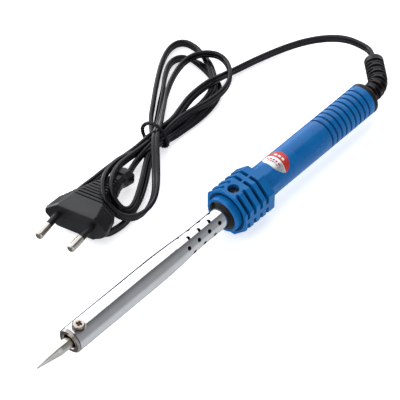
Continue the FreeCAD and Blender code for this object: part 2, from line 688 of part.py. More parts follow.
save(cord_inner_run(), "cord_inner_run")
save(strain_relief_boot(), "strain_relief_boot")
save(supply_cord(), "supply_cord")
save(cord_hank(), "cord_hank")
save(cord_tie(), "cord_tie")
save(plug_body(), "plug_body")
for side, word in ((1, "left"), (-1, "right")):
    save(plug_pin(side), "plug_pin_" + word)
    save(pin_sleeve(side), "pin_sleeve_" + word)
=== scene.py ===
import math

import bpy
import numpy as np
from mathutils import Matrix, Vector


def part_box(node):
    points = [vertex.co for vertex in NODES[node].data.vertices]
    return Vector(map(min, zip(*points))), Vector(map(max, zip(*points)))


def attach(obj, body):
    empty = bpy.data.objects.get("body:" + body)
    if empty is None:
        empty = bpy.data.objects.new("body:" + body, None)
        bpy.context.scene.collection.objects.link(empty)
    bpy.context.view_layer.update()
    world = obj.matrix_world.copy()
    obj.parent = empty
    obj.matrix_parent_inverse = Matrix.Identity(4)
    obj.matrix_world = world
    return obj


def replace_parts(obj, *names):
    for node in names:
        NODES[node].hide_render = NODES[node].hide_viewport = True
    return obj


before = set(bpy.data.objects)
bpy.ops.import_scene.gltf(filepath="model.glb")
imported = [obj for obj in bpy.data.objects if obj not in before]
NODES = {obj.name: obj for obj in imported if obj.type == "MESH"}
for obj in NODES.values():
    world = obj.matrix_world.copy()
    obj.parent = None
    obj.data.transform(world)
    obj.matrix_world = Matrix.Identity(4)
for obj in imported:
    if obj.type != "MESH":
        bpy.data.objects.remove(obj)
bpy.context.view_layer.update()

# Soldering iron with a flat cord tied in a hank. Metres; +X runs from the tip to the cord end, +Z is up.
MM = 0.001
AXIS_Z = sum(corner.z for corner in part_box("barrel_tube")) / 2
UP = Vector((0, 0, 1))


# ---------------------------------------------------------------- node graphs
class Graph:
    """A material's node tree, written as expressions."""

    def __init__(self, name):
        self.material = bpy.data.materials.new(name)
        self.material.use_nodes = True
        self.tree = self.material.node_tree
        self.shader = self.tree.nodes["Principled BSDF"]
        self.here = self.add("ShaderNodeTexCoord").outputs["Object"]

    def add(self, kind, inputs=None, **settings):
        node = self.tree.nodes.new(kind)
        for key, value in settings.items():
            setattr(node, key, value)
        for key, value in (inputs or {}).items():
            self.put(node.inputs[key], value)
        return node

    def put(self, socket, value):
        if isinstance(value, bpy.types.NodeSocket):
            self.tree.links.new(value, socket)
        else:
            socket.default_value = value

    def set(self, **values):
        for key, value in values.items():
            self.put(self.shader.inputs[key.replace("_", " ")], value)

    def math(self, operation, a, b=0.0):
        return self.add("ShaderNodeMath", {0: a, 1: b}, operation=operation).outputs[0]

    def axes(self):
        return self.add("ShaderNodeSeparateXYZ", {0: self.here}).outputs

    def axis_radius(self):
        """Distance from the iron's axis."""
        _, y, z = self.axes()
        high = self.math("SUBTRACT", z, AXIS_Z)
        squares = self.math("ADD", self.math("MULTIPLY", y, y), self.math("MULTIPLY", high, high))
        return self.math("SQRT", squares)

    def stretched(self, scale):
        return self.add("ShaderNodeMapping", {"Vector": self.here, "Scale": scale}).outputs[0]

    def noise(self, size, detail=3.0, where=None):
        """Noise from 0 to 1 whose features are about size metres."""
        inputs = {"Scale": 1 / size, "Detail": detail, "Roughness": 0.55, "Vector": where or self.here}
        return self.add("ShaderNodeTexNoise", inputs).outputs[0]

    def ramp(self, value, low, high, to_low=0.0, to_high=1.0):
        inputs = {"Value": value, "From Min": low, "From Max": high, "To Min": to_low, "To Max": to_high}
        return self.add("ShaderNodeMapRange", inputs, interpolation_type="SMOOTHSTEP").outputs[0]

    def mix(self, share, first, second):
        made = self.add("ShaderNodeMix", data_type="RGBA")
        for socket, value in ((made.inputs[0], share), (made.inputs[6], first), (made.inputs[7], second)):
            self.put(socket, value)
        return made.outputs[2]

    def bump(self, height, distance):
        inputs = {"Height": height, "Distance": distance, "Strength": 1.0}
        return self.add("ShaderNodeBump", inputs).outputs[0]


def rgb(red, green, blue):
    return (red, green, blue, 1.0)


SHADE_FADE = 0.2 * MM


def moulded(name, dark, light, rough, grain, depth, patch=0.012, specular=0.5, shade=None):
    """Moulded plastic or rubber: slow colour variation, uneven gloss, fine surface grain and faint scuffs.

    shade paints shade into grooves behind start_x, darkest nearest the axis: (start_x, radius of full painted
    shade, radius of none, share of light left).
    """
    graph = Graph(name)
    slow = graph.ramp(graph.noise(patch, 4.0), 0.35, 0.65)
    scuff = graph.ramp(graph.noise(0.0022, 5.0, graph.stretched((0.25, 1.0, 1.0))), 0.6, 0.78)
    colour = graph.mix(slow, dark, light)
    if shade:
        start_x, low, high, floor_share = shade
        behind = graph.ramp(graph.axes()[0], start_x, start_x + SHADE_FADE)
        # Painted shade: the colour turns darker in grooves and hollows nearer the axis than high, behind
        # start_x.
        groove_shade = graph.math("MULTIPLY", graph.ramp(graph.axis_radius(), low, high, 1.0, 0.0), behind)
        colour = graph.mix(groove_shade, colour, rgb(*(value * floor_share for value in light[:3])))
    gloss = graph.math("ADD", graph.ramp(slow, 0, 1, rough[0], rough[1]), graph.math("MULTIPLY", scuff, 0.08))
    graph.set(Base_Color=colour, Specular_IOR_Level=specular, Roughness=gloss)
    graph.set(Normal=graph.bump(graph.noise(grain, 2.0), depth))
    return graph.material


ALONG_X = (0.06, 1.0, 1.0)
NO_DIRECTION = (1.0, 1.0, 1.0)


def metal_graph(name, dark, light, rough, along=ALONG_X, line=0.0006, depth=2e-6):
    """Metal with slow tone variation and fine working lines: its graph, colour and roughness.

    along squeezes the noise, which stretches the lines.
    """
    graph = Graph(name)
    slow = graph.ramp(graph.noise(0.01, 3.0), 0.3, 0.7)
    lines = graph.noise(line, 3.0, graph.stretched(along))
    graph.set(Metallic=1.0, Normal=graph.bump(lines, depth))
    return graph, graph.mix(slow, dark, light), graph.ramp(lines, 0.3, 0.75, rough[0], rough[1])


def metal(*settings):
    graph, colour, gloss = metal_graph(*settings)
    graph.set(Base_Color=colour, Roughness=gloss)
    return graph.material


TAPER_X = (-42 * MM, -9 * MM)
TAPER_WALL_R = (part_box("barrel_tube")[1].z - AXIS_Z - 0.3 * MM, 5.0 * MM)
WALL_FADE = 0.05 * MM


def barrel_steel():
    """Polished steel with painted shade inside the tube: dark and dull within the wall, whose radius runs in
    along the taper.
    """
    graph, colour, gloss = metal_graph("barrel steel", rgb(0.80, 0.81, 0.83), rgb(0.86, 0.87, 0.89),
                                       (0.08, 0.16))
    along = graph.math("DIVIDE", graph.math("SUBTRACT", graph.axes()[0], TAPER_X[0]), TAPER_X[1] - TAPER_X[0])
    along = graph.math("MINIMUM", graph.math("MAXIMUM", along, 0.0), 1.0)
    narrowing = graph.math("MULTIPLY", along, TAPER_WALL_R[1] - TAPER_WALL_R[0])
    wall_r = graph.math("ADD", narrowing, TAPER_WALL_R[0])
    # Painted shade: inside the wall the steel is painted near-black blue and made rougher.
    inside = graph.ramp(graph.math("SUBTRACT", graph.axis_radius(), wall_r), -WALL_FADE, 0.0, 1.0, 0.0)
    graph.set(Base_Color=graph.mix(inside, colour, rgb(0.015, 0.018, 0.028)),
              Roughness=graph.math("ADD", gloss, graph.math("MULTIPLY", inside, 0.4)))
    return graph.material


RIM_T = 1.1 * MM
SEAM_W = 0.3 * MM


def nose_steel():
    """Dull steel on the ring's flange, a dark seam behind it, and bright steel beyond."""
    graph, colour, gloss = metal_graph("nose steel", rgb(0.37, 0.325, 0.305), rgb(0.52, 0.465, 0.44),
                                       (0.24, 0.36), NO_DIRECTION, 0.0005, 8e-6)
    x = graph.axes()[0]
    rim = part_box("nose_ring")[0].x + RIM_T
    behind = graph.ramp(x, rim, rim + 0.1 * SEAM_W)
    seam = graph.math("MULTIPLY", behind, graph.ramp(x, rim + SEAM_W, rim + 1.2 * SEAM_W, 1.0, 0.0))
    colour = graph.mix(behind, colour, rgb(0.82, 0.83, 0.85))
    graph.set(Base_Color=graph.mix(seam, colour, rgb(0.01, 0.01, 0.01)),
              Roughness=graph.math("SUBTRACT", gloss, graph.math("MULTIPLY", behind, 0.16)))
    return graph.material


SCREW_LEAN = math.radians(9)
CROSS_TURN = math.radians(20)
CROSS_HALF_W = 0.5 * MM
CROSS_REACH = 1.45 * MM


def screw_steel():
    """Bright steel with a dark brown cross painted in the head as the recess's painted shade, and a darker
    edge.
    """
    graph, colour, gloss = metal_graph("screw steel", rgb(0.50, 0.45, 0.40), rgb(0.66, 0.62, 0.57),
                                       (0.12, 0.22), NO_DIRECTION, 0.0008)
    low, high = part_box("tip_screw")
    x, y, z = graph.axes()
    off_x = graph.math("SUBTRACT", x, (low.x + high.x) / 2)
    off_y = graph.math("ADD", graph.math("MULTIPLY", y, math.cos(SCREW_LEAN)),
                       graph.math("MULTIPLY", graph.math("SUBTRACT", z, AXIS_Z), math.sin(SCREW_LEAN)))
    cosine = math.cos(CROSS_TURN)
    sine = math.sin(CROSS_TURN)
    arms = []
    for share_x, share_y in ((cosine, sine), (-sine, cosine)):
        arm = graph.math("ADD", graph.math("MULTIPLY", off_x, share_x), graph.math("MULTIPLY", off_y, share_y))
        arms.append(graph.math("ABSOLUTE", arm))
    near = graph.math("MINIMUM", *arms)
    far = graph.math("MAXIMUM", *arms)
    cross = graph.math("MULTIPLY", graph.ramp(near, CROSS_HALF_W, CROSS_HALF_W * 1.3, 1.0, 0.0),
                       graph.ramp(far, CROSS_REACH, CROSS_REACH * 1.12, 1.0, 0.0))
    # Painted shade: the cross over the head's recess is painted dark brown.
    colour = graph.mix(cross, colour, rgb(0.10, 0.055, 0.025))
    squares = graph.math("ADD", graph.math("MULTIPLY", near, near), graph.math("MULTIPLY", far, far))
    edge = graph.ramp(graph.math("SQRT", squares), 2.3 * MM, 2.9 * MM)
    graph.set(Base_Color=graph.mix(edge, colour, rgb(0.20, 0.17, 0.15)), Roughness=gloss)
    return graph.material


def label_foil():
    """Foil sticker: silver towards the tip, red towards the cord, a light arc between, plain bars as print."""
    graph = Graph("label foil")
    low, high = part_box("rating_label")
    x, y, _ = graph.axes()
    x = graph.math("MULTIPLY", graph.math("SUBTRACT", x, (low.x + high.x) / 2), 1000.0)
    y = graph.math("MULTIPLY", y, 1000.0)
    bow = graph.math("MULTIPLY", graph.math("MULTIPLY", y, y), 0.035)
    off = graph.math("SUBTRACT", graph.math("ADD", x, bow), 0.3)
    red = graph.ramp(off, -0.08, 0.08)
    arc = graph.math("SUBTRACT", 1.0, graph.ramp(graph.math("ABSOLUTE", off), 0.3, 0.45))

    def bars(middle, half_width, pitch, duty, reach, phase):
        """A row of bars across the label, in millimetres; duty is the share of each pitch that is printed."""
        row = graph.math("LESS_THAN", graph.math("ABSOLUTE", graph.math("SUBTRACT", off, middle)), half_width)
        place = graph.math("FRACT", graph.math("ADD", graph.math("DIVIDE", y, pitch), phase))
        gaps = graph.math("LESS_THAN", place, duty)
        inside = graph.math("LESS_THAN", graph.math("ABSOLUTE", y), reach)
        return graph.math("MULTIPLY", graph.math("MULTIPLY", row, gaps), inside)

    worn = graph.noise(0.0012, 4.0)
    silver = graph.mix(graph.ramp(worn, 0.35, 0.7), rgb(0.62, 0.62, 0.63), rgb(0.80, 0.80, 0.81))
    ink = graph.mix(graph.ramp(worn, 0.3, 0.7), rgb(0.50, 0.022, 0.015), rgb(0.60, 0.035, 0.022))
    colour = graph.mix(red, silver, ink)
    colour = graph.mix(arc, colour, rgb(0.85, 0.84, 0.83))
    colour = graph.mix(bars(2.15, 0.6, 2.3, 0.68, 3.6, 0.35), colour, rgb(0.86, 0.80, 0.78))
    colour = graph.mix(bars(-1.6, 0.5, 1.7, 0.66, 4.0, 0.1), colour, rgb(0.36, 0.03, 0.03))
    colour = graph.mix(bars(-2.9, 0.36, 1.3, 0.66, 3.2, 0.4), colour, rgb(0.26, 0.04, 0.04))
    graph.set(Base_Color=colour, Metallic=graph.ramp(red, 0.0, 1.0, 0.75, 0.1), Coat_Weight=0.12,
              Coat_Roughness=0.15, Roughness=graph.ramp(worn, 0.3, 0.7, 0.26, 0.38))
    graph.set(Normal=graph.bump(graph.noise(0.0016, 3.0), 1.2e-5))
    return graph.material


def paint(material, *names):
    for name in names:
        obj = NODES[name]
        obj.data.materials.clear()
        obj.data.materials.append(material)


# ---------------------------------------------------------------- meshes
NURBS_STEPS = 10


def turns_of(count):
    """Evenly spaced angles round a circle."""
    return [2 * math.pi * j / count for j in range(count)]


def grid_mesh(name, rings, material, closed=False, smooth_angle=40.0):
    """Piece on the iron, over rings of points.

    closed joins the last ring to the first. Otherwise both ends are capped.
    """
    count = len(rings[0])
    points = [tuple(point) for ring in rings for point in ring]
    faces = []
    last = len(rings) if closed else len(rings) - 1
    for i in range(last):
        a = i * count
        b = (i + 1) % len(rings) * count
        for j in range(count):
            k = (j + 1) % count
            faces.append((a + j, a + k, b + k, b + j))
    if not closed:
        faces.append(tuple(reversed(range(count))))
        faces.append(tuple(range((len(rings) - 1) * count, len(rings) * count)))
    mesh = bpy.data.meshes.new(name)
    mesh.from_pydata(points, [], faces)
    mesh.validate()
    mesh.polygons.foreach_set("use_smooth", [True] * len(mesh.polygons))
    mesh.set_sharp_from_angle(angle=math.radians(smooth_angle))
    mesh.materials.append(material)
    obj = bpy.data.objects.new(name, mesh)
    bpy.context.scene.collection.objects.link(obj)
    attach(obj, "iron")
    return obj


def nurbs_line(points, cyclic=False):
    """Points along the smooth NURBS line that has these control points."""
    curve = bpy.data.curves.new("route", "CURVE")
    curve.dimensions = "3D"
    curve.resolution_u = NURBS_STEPS
    spline = curve.splines.new("NURBS")
    spline.points.add(len(points) - 1)
    for target, point in zip(spline.points, points):
        target.co = (*point, 1.0)
    spline.order_u = 3
    spline.use_endpoint_u = not cyclic
    spline.use_cyclic_u = cyclic
    holder = bpy.data.objects.new("route", curve)
    mesh = bpy.data.meshes.new_from_object(holder)
    line = [vertex.co.copy() for vertex in mesh.vertices]
    bpy.data.meshes.remove(mesh)
    bpy.data.objects.remove(holder)
    bpy.data.curves.remove(curve)
    return line


def smoothstep(low, high, value):
    share = min(1.0, max(0.0, (value - low) / (high - low)))
    return share * share * (3 - 2 * share)


# ---------------------------------------------------------------- cord
CORD_W = 4.4 * MM
CORD_T = 2.3 * MM
# Control points of the cord's line: from the boot, over the right-hand loops, through the tie and round each
# loop in turn, to the plug's tail. A separate fitting script worked them out. They were not chosen by hand.
ROUTE_MM = [
    # boot to the tie
    (143.9, 14.3, 12.2), (148.1, 18.6, 12.2), (150.1, 25.6, 11.3), (150.5, 37.2, 9.4), (146.5, 47.5, 6.6),
    (139.3, 55.9, 4.0), (129.2, 61.5, 2.9), (115.5, 66.0, 2.6), (105.9, 68.4, 2.5), (97.7, 70.2, 2.5),
    (89.1, 70.2, 4.8), (80.7, 70.4, 6.9), (72.4, 70.8, 6.8), (63.8, 70.2, 6.8), (55.5, 68.0, 6.8),
    (47.0, 65.5, 6.8), (38.9, 65.5, 6.8),
    # first lower loop, round under the plug
    (30.6, 66.7, 6.9), (20.5, 66.3, 6.1), (13.4, 67.7, 4.5), (5.8, 69.5, 2.9), (-4.2, 70.0, 2.4),
    (-13.2, 69.7, 2.1), (-21.9, 70.0, 1.3), (-27.7, 67.7, 1.3), (-32.4, 62.6, 1.3), (-35.0, 54.9, 1.3),
    (-35.9, 48.2, 1.3), (-34.0, 42.3, 1.4), (-30.1, 39.5, 2.3), (-24.6, 38.3, 2.4), (-18.4, 38.2, 2.4),
    (-12.0, 39.6, 2.4), (-5.1, 42.1, 2.6), (0.8, 45.1, 2.8), (7.6, 49.2, 2.8), (13.8, 53.5, 2.8),
    (21.1, 58.7, 2.6), (28.1, 63.7, 2.4), (35.7, 70.7, 2.4),
    # largest upper loop
    (43.0, 78.3, 2.4), (50.7, 83.7, 2.4), (59.4, 90.1, 2.4), (68.3, 96.2, 2.4), (77.2, 101.9, 2.4),
    (87.0, 106.5, 2.4), (94.5, 107.1, 2.4), (98.7, 103.6, 2.4), (98.7, 96.4, 2.6), (96.5, 88.8, 3.0),
    (92.0, 81.1, 3.7), (87.3, 75.0, 3.6), (81.7, 69.4, 3.7), (75.5, 66.4, 3.0), (66.3, 65.1, 2.5),
    (57.2, 65.5, 2.8), (47.2, 64.7, 3.3), (38.1, 65.0, 4.5), (31.0, 64.2, 6.6),
    # second lower loop, standing over the plug's tail
    (20.1, 63.3, 7.4), (11.2, 63.1, 8.4), (1.5, 61.4, 10.9), (-7.1, 57.3, 14.1), (-13.5, 52.8, 14.8),
    (-17.3, 48.4, 13.8), (-18.2, 44.9, 10.6), (-17.2, 41.5, 6.9), (-13.5, 40.1, 5.6), (-8.3, 41.6, 5.8),
    (-2.8, 44.7, 5.8), (3.6, 48.5, 5.8), (10.2, 52.9, 5.6), (17.4, 57.9, 5.2), (24.1, 62.3, 4.5),
    # smallest upper loop
    (35.5, 69.2, 2.9), (45.2, 75.6, 2.3), (54.4, 82.1, 2.4), (63.3, 88.1, 2.4), (71.3, 94.1, 2.4),
    (79.4, 98.7, 2.4), (85.4, 99.1, 2.4), (89.5, 96.1, 2.2), (91.4, 91.6, 1.7), (91.3, 85.1, 1.2),
    (89.3, 77.8, 1.3), (86.1, 70.6, 1.3), (81.7, 66.1, 1.3), (74.2, 62.5, 2.0), (65.1, 60.5, 2.5),
    (56.3, 60.3, 2.4), (47.6, 60.9, 2.3), (39.2, 60.6, 3.2), (31.5, 60.4, 5.8),
    # third lower loop, the highest
    (20.9, 62.1, 5.4), (14.0, 65.1, 6.6), (5.2, 65.0, 9.4), (-5.1, 61.8, 13.2), (-13.5, 57.7, 15.5),
    (-19.2, 53.0, 15.6), (-22.4, 48.4, 14.2), (-22.9, 44.5, 11.0), (-21.7, 40.0, 8.0), (-19.0, 35.9, 6.8),
    (-14.5, 32.9, 7.0), (-7.7, 33.3, 6.9), (-1.0, 35.7, 7.4), (5.3, 40.2, 8.0), (11.3, 45.7, 8.5),
    (17.2, 51.2, 9.6), (23.0, 56.8, 10.6), (29.6, 62.6, 11.3),
    # last upper loop and back through the tie to the plug
    (38.7, 67.8, 9.6), (48.0, 74.1, 8.2), (55.2, 79.2, 7.1), (61.7, 83.2, 7.0), (69.2, 86.9, 7.0),
    (77.1, 89.7, 7.0), (85.1, 91.0, 7.0), (91.3, 89.5, 7.0), (96.0, 85.9, 7.0), (98.6, 80.6, 7.0),
    (97.2, 73.9, 7.1), (92.8, 67.8, 7.3), (87.2, 63.4, 7.0), (80.3, 61.2, 6.8), (73.0, 60.8, 6.8),
    (65.3, 61.6, 6.8), (57.6, 63.2, 6.8), (50.0, 63.9, 6.8), (43.1, 63.8, 6.8), (32.7, 62.2, 6.8),
    (21.9, 61.5, 6.8), (14.8, 60.4, 6.6), (8.6, 58.8, 6.5), (3.2, 56.6, 6.4),
]
# How far the flat cord is rolled from standing on its edge: (control point, degrees).
ROLL_KEYS = [
    (0, 0), (10, 0), (12, 60), (15, 60), (17, 0), (31, 0), (33, 25), (37, 25), (39, 0), (48, 0), (50, 80),
    (52, 80), (54, 42), (57, 42), (59, 0), (71, 0), (73, 25), (76, 25), (78, 0), (85, 0), (87, 45), (90, 45),
    (92, 0), (102, 0), (105, 50), (108, 75), (110, 70), (112, 20), (114, 0), (134, 0)]
GROOVE_D = 0.42 * MM
GROOVE_HALF_W = 0.5 * MM
RIDGE_D = 0.07 * MM
RIDGE_PITCH = 0.42 * MM
RIDGED_HALF = 1.25 * MM
RIDGES_END = 1.75 * MM
ROLL_WINDOW = 15


def racetrack(width, thick, count):
    """(across, up, outward across, outward up) round the flat cord's outline."""
    half_flat = (width - thick) / 2
    radius = thick / 2
    bend = math.pi * radius
    length = 4 * half_flat + 2 * bend
    outline = []
    for i in range(count):
        s = i / count * length
        if s < 2 * half_flat:
            outline.append((radius, s - half_flat, 1.0, 0.0))
        elif s < 2 * half_flat + bend:
            a = (s - 2 * half_flat) / radius
            outline.append((radius * math.cos(a), half_flat + radius * math.sin(a), math.cos(a), math.sin(a)))
        elif s < 4 * half_flat + bend:
            outline.append((-radius, half_flat - (s - 2 * half_flat - bend), -1.0, 0.0))
        else:
            a = math.pi + (s - 4 * half_flat - bend) / radius
            outline.append((radius * math.cos(a), radius * math.sin(a) - half_flat, math.cos(a), math.sin(a)))
    return outline


def cord_outline():
    """The racetrack with the groove between its two cores and fine ridges along both faces."""
    outline = []
    for across, up, out_across, out_up in racetrack(CORD_W, CORD_T, 64):
        face = 1 - smoothstep(RIDGED_HALF, RIDGES_END, abs(up))
        groove = max(0.0, 1 - (up / GROOVE_HALF_W) ** 2) ** 2 * GROOVE_D
        ridge = (math.cos(2 * math.pi * up / RIDGE_PITCH) - 1) / 2 * RIDGE_D * face
        move = -groove + (ridge if abs(up) > GROOVE_HALF_W else 0.0)
        outline.append((across + out_across * move, up + out_up * move))
    return outline


def roll_at(control, height):
    """The cord's roll in radians. Near the floor it lies down as far as it has to."""
    manual = 0.0
    for (first, start), (second, stop) in zip(ROLL_KEYS, ROLL_KEYS[1:]):
        if first <= control <= second:
            manual = start + (stop - start) * smoothstep(first, second, control)
    room = (height - CORD_T / 2) / ((CORD_W - CORD_T) / 2)
    lying = math.degrees(math.acos(min(1.0, max(0.0, room))))
    return math.radians(max(manual, lying))


def swept(line, outline, rolls):
    """Rings of the outline along a line, standing upright and then rolled."""
    rings = []
    for i, point in enumerate(line):
        ahead = (line[min(i + 1, len(line) - 1)] - line[max(i - 1, 0)]).normalized()
        side = UP.cross(ahead).normalized()
        up = ahead.cross(side)
        turn = Matrix.Rotation(rolls[i], 3, ahead)
        side = turn @ side
        up = turn @ up
        rings.append([point + side * across + up * high for across, high in outline])
    return rings


def make_cord(material):
    line = nurbs_line([Vector(point) * MM for point in ROUTE_MM])
    spans = len(ROUTE_MM) - 2
    rolls = [roll_at(i / (len(line) - 1) * spans + 0.5, point.z) for i, point in enumerate(line)]
    kernel = np.hanning(ROLL_WINDOW)
    padded = np.pad(rolls, ROLL_WINDOW // 2, mode="edge")
    rolls = np.maximum(np.convolve(padded, kernel / kernel.sum(), mode="valid"),
                       [roll_at(-1, point.z) for point in line])
    cord = grid_mesh("cord", swept(line, cord_outline(), rolls), material, smooth_angle=75)
    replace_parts(cord, "supply_cord", "cord_hank")
    return cord, line


# ---------------------------------------------------------------- boot, tie, plug and handle
BEND_R = 13 * MM
BEND = math.radians(46)
BOOT_STRAIGHT = 6 * MM
BOOT_TAIL = 14.35 * MM
BOOT_LENGTH = BOOT_STRAIGHT + BEND_R * BEND + BOOT_TAIL
BOOT_R = 5.1 * MM
BOOT_ROOT_R = 7.2 * MM
BOOT_NECK_R = 3.4 * MM
BOOT_END_ROUND = 0.9 * MM
BOOT_SLOT_R = 3.3 * MM
BOOT_SLOTS = 11
BOOT_FIRST_SLOT = 3.2 * MM
BOOT_PITCH = 2.3 * MM
SLOT_HALF_W = 0.66 * MM
BRIDGE_DEPTH = 0.12
BORE_CLEARANCE = 0.02 * MM
BOOT_STEP = 0.17 * MM


def axis_point(x, turn, radius):
    """Point at a distance from the iron's axis, turned from +Z towards -Y."""
    return Vector((x, -math.sin(turn) * radius, AXIS_Z + math.cos(turn) * radius))


def boot_station(distance):
    """Point and direction on the boot's middle line, measured from the end cap."""
    end_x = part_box("end_cap")[1].x
    turn = min(max(0.0, distance - BOOT_STRAIGHT), BEND_R * BEND) / BEND_R
    ahead = Vector((math.cos(turn), math.sin(turn), 0))
    start = Vector((end_x + min(distance, BOOT_STRAIGHT), 0, AXIS_Z))
    arc = Vector((math.sin(turn), 1 - math.cos(turn), 0)) * BEND_R
    return start + arc + ahead * max(0.0, distance - BOOT_STRAIGHT - BEND_R * BEND), ahead


def boot_radius(distance, turn):
    """Rings parted by pairs of slots, every second pair turned a quarter; a wide root and a rounded end."""
    radius = BOOT_R
    for k in range(BOOT_SLOTS):
        off = abs(distance - BOOT_FIRST_SLOT - BOOT_PITCH * k)
        if off < 2 * SLOT_HALF_W:
            open_share = smoothstep(0.42, 0.58, abs(math.cos(turn + k % 2 * math.pi / 2)))
            cut = 1 - smoothstep(SLOT_HALF_W * 0.75, SLOT_HALF_W * 1.25, off)
            radius -= (BOOT_R - BOOT_SLOT_R) * cut * (BRIDGE_DEPTH + (1 - BRIDGE_DEPTH) * open_share)
    radius += (BOOT_ROOT_R - BOOT_R) * (1 - smoothstep(-1.5 * MM, 4.0 * MM, distance))
    near_end = max(0.0, distance - BOOT_LENGTH + BOOT_END_ROUND)
    return radius - (BOOT_END_ROUND - math.sqrt(max(0.0, BOOT_END_ROUND ** 2 - near_end ** 2)))


def bore_radius(turn):
    """Distance from the cord's middle to the boot's diamond-shaped bore."""
    return BORE_CLEARANCE + 1 / max(abs(math.sin(turn)) / (CORD_T / 2), abs(math.cos(turn)) / (CORD_W / 2))


def boot_ring(distance, radius_at):
    centre, ahead = boot_station(distance)
    side = UP.cross(ahead)
    return [centre + (side * math.sin(turn) + UP * math.cos(turn)) * radius_at(turn) for turn in turns_of(72)]


def make_boot(material):
    neck_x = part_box("strain_relief_boot")[0].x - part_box("end_cap")[1].x
    outside = [BOOT_STEP * i for i in range(int(BOOT_LENGTH / BOOT_STEP))] + [BOOT_LENGTH]
    bore = [BOOT_LENGTH - i * MM for i in range(int(BOOT_LENGTH / MM) + 1)] + [neck_x]
    rings = [boot_ring(neck_x, lambda turn: BOOT_NECK_R)]
    rings += [boot_ring(distance, lambda turn: boot_radius(distance, turn)) for distance in outside]
    rings += [boot_ring(distance, bore_radius) for distance in bore]
    boot = grid_mesh("boot", rings, material, closed=True)
    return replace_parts(boot, "strain_relief_boot")


TIE_TURN = math.radians(8)
TIE_R = 0.88 * MM
TIE_TWISTS = 13
# The tie's ring round the turns, across and up, in millimetres from the middle of the waist on the floor.
TIE_RING = [(7.4, 4.0), (7.9, 7.6), (6.0, 11.2), (2.4, 13.8), (-1.9, 13.4), (-5.2, 10.8), (-7.4, 7.2),
            (-7.8, 3.6), (-5.4, 1.2), (-2.0, 1.2), (2.4, 1.2), (6.0, 1.2)]


def make_tie(material):
    """Plastic-covered wire, two strands twisted together, bent in a loose ring round the turns."""
    low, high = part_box("cord_tie")
    middle = Vector(((low.x + high.x) / 2, (low.y + high.y) / 2, 0))
    across = Vector((-math.sin(TIE_TURN), math.cos(TIE_TURN), 0))
    along = Vector((math.cos(TIE_TURN), math.sin(TIE_TURN), 0))
    line = nurbs_line([middle + across * y * MM + UP * z * MM for y, z in TIE_RING], cyclic=True)
    rings = []
    for i, point in enumerate(line):
        ahead = (line[(i + 1) % len(line)] - line[i - 1]).normalized()
        outward = ahead.cross(along).normalized()
        turn = 2 * math.pi * TIE_TWISTS * i / len(line)
        ring = []
        for angle in turns_of(12):
            radius = TIE_R * (1 + 0.22 * math.cos(2 * (angle - turn)))
            ring.append(point + (outward * math.cos(angle) + along * math.sin(angle)) * radius)
        rings.append(ring)
    tie = grid_mesh("wire_tie", rings, material, closed=True, smooth_angle=75)
    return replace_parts(tie, "cord_tie")


PLUG_YAW = math.radians(192.7)
PLUG_PITCH = math.radians(5.6)
PLUG_AT = Vector((-39.6, 51.9, 10.5)) * MM
# x, sideways shift, centre height, half width, half flat, half height and half side, in millimetres from the
# face that the pins stand on.
PLUG_SECTIONS = [
    (0.0, 0.0, -1.35, 16.8, 10.2, 6.65, 1.3), (-2.0, 0.0, -1.35, 17.2, 10.2, 6.7, 1.3),
    (-10.6, 0.0, -1.2, 15.6, 8.4, 6.5, 1.6), (-19.0, 0.0, -0.8, 11.2, 6.2, 6.0, 1.9),
    (-27.0, 0.8, -0.4, 7.2, 4.0, 5.0, 2.0), (-33.0, 2.0, -0.1, 4.6, 2.5, 4.2, 2.1),
    (-36.6, 2.9, 0.0, 3.7, 1.9, 3.7, 1.9), (-37.4, 3.1, 0.0, 4.7, 2.2, 4.7, 2.2),
    (-41.2, 4.1, 0.0, 4.8, 2.2, 4.8, 2.2), (-42.4, 4.4, 0.0, 4.1, 1.9, 4.1, 1.9)]
PLUG_RIBS = 10
PLUG_FIRST_RIB = -12.6
PLUG_RIB_PITCH = 2.15
PLUG_RIB_DEPTH = 0.75
PLUG_FACE_ROUND = 0.4
PLUG_STEP = 0.22
# Stations round the face's edge and round the tail's knob. Even steps fill the ribbed stretch between.
PLUG_FACE_X = [-0.01, -0.04, -0.09, -0.16, -0.25, -0.4, -0.7, -1.0]
PLUG_TAIL_X = [-36.9, -37.15, -37.4, -38, -39, -40, -41.2, -41.8, -42.2, -42.4]
CORNER_REACH = 0.5
CORNER_POINTS = 5


def plug_section(x):
    for first, second in zip(PLUG_SECTIONS, PLUG_SECTIONS[1:]):
        if second[0] <= x <= first[0]:
            share = (x - first[0]) / (second[0] - first[0])
            return [a + (b - a) * share for a, b in zip(first, second)]
    return list(PLUG_SECTIONS[-1])


def plug_inset(x):
    """How far the surface lies inside the section: the face's round edge, then a groove before each rib."""
    into_round = max(0.0, x + PLUG_FACE_ROUND)
    inset = PLUG_FACE_ROUND - math.sqrt(max(0.0, PLUG_FACE_ROUND ** 2 - into_round ** 2))
    for k in range(PLUG_RIBS):
        off = abs(x - PLUG_FIRST_RIB + PLUG_RIB_PITCH * k)
        inset += PLUG_RIB_DEPTH * (1 - smoothstep(0.25, 0.62, off))
    return inset


def plug_ring(x):
    _, shift, centre_z, half_w, half_flat, half_h, half_side = plug_section(x)
    inset = plug_inset(x)
    half_w -= inset
    half_h -= inset
    half_flat -= inset / 2
    corners = [(half_w, half_side), (half_flat, half_h), (-half_flat, half_h), (-half_w, half_side),
               (-half_w, -half_side), (-half_flat, -half_h), (half_flat, -half_h), (half_w, -half_side)]
    ring = []
    for i, corner in enumerate(corners):
        corner = Vector(corner)
        before = Vector(corners[i - 1])
        after = Vector(corners[(i + 1) % len(corners)])
        reach = min(CORNER_REACH, 0.42 * (before - corner).length, 0.42 * (after - corner).length)
        start = corner + (before - corner).normalized() * reach
        stop = corner + (after - corner).normalized() * reach
        for j in range(CORNER_POINTS):
            u = j / (CORNER_POINTS - 1)
            point = start * (1 - u) ** 2 + corner * 2 * u * (1 - u) + stop * u ** 2
            ring.append(Vector((x, point.x + shift, point.y + centre_z)))
    return ring


